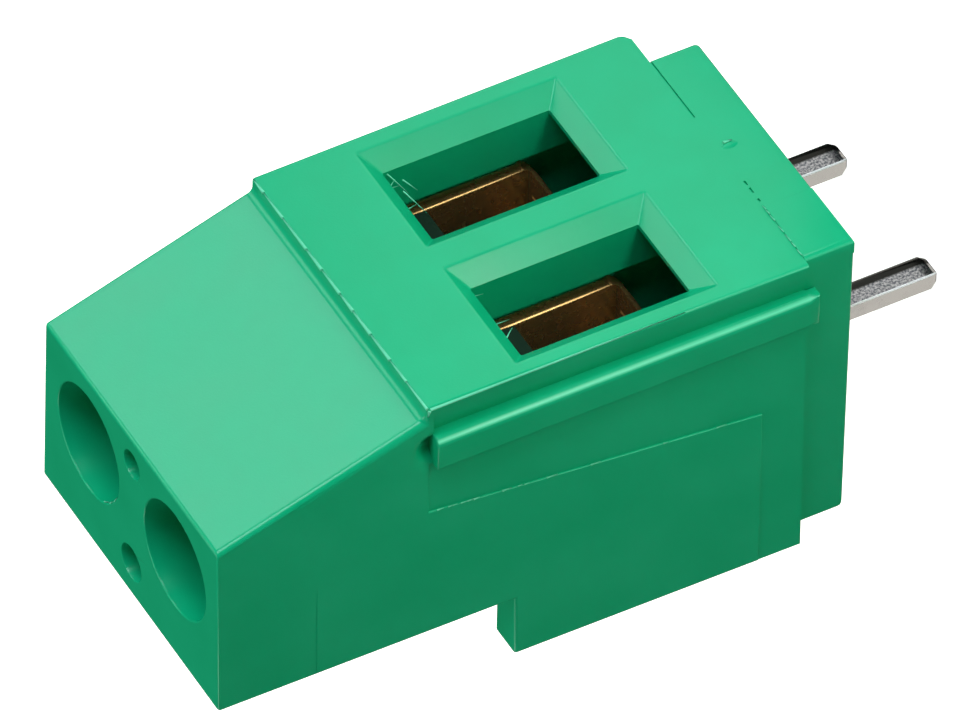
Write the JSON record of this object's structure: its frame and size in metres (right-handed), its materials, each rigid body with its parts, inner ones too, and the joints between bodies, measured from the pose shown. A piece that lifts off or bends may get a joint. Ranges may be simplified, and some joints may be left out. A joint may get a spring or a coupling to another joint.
{
  "type": "pcb screw terminal",
  "caption": "Green moulded board terminal with driver holes on top, funnel wire entries in front, rising clamping sleeves inside and flat solder pins below.",
  "frame": {"origin": "on the board surface, midway between the two solder pins, on the plane of the screw axes", "axes": "+Z from the board up to the screw face, the wires enter from -Y, and the poles lie side by side along X with the side rib on -X"},
  "size_m": [0.0109, 0.0111, 0.0241],
  "materials": {
    "moulded_green": "fine satin moulded surface",
    "zinc_steel": "bright zinc plate",
    "nickel_brass": "bright nickel plate",
    "tinned_copper": "satin tin plate"
  },
  "bodies": {
    "block": {"housing": "moulded_green", "base": "moulded_green", "contact_1": "tinned_copper", "contact_2": "tinned_copper"},
    "screw_1_body": {"screw_1": "zinc_steel"},
    "screw_2_body": {"screw_2": "zinc_steel"},
    "sleeve_1_body": {"sleeve_1": "nickel_brass"},
    "sleeve_2_body": {"sleeve_2": "nickel_brass"}
  },
  "joints": [
    {"name": "screw_1_turn", "type": "hinge", "parent": "block", "child": "screw_1_body", "pos_m": [-0.00254, 0, 0.015], "axis": [0, 0, 1], "range_deg": [-2052, 0]},
    {"name": "screw_2_turn", "type": "hinge", "parent": "block", "child": "screw_2_body", "pos_m": [0.00254, 0, 0.015], "axis": [0, 0, 1], "range_deg": [-2052, 0]},
    {"name": "sleeve_1_lift", "type": "slide", "parent": "block", "child": "sleeve_1_body", "axis": [0, 0, 1], "range_m": [0, 0.00285]},
    {"name": "sleeve_2_lift", "type": "slide", "parent": "block", "child": "sleeve_2_body", "axis": [0, 0, 1], "range_m": [0, 0.00285]}
  ],
  "couplings": [
    {"joint": "screw_1_turn", "follows": "sleeve_1_lift", "rad_per_m": -12566},
    {"joint": "screw_2_turn", "follows": "sleeve_2_lift", "rad_per_m": -12566}
  ]
}
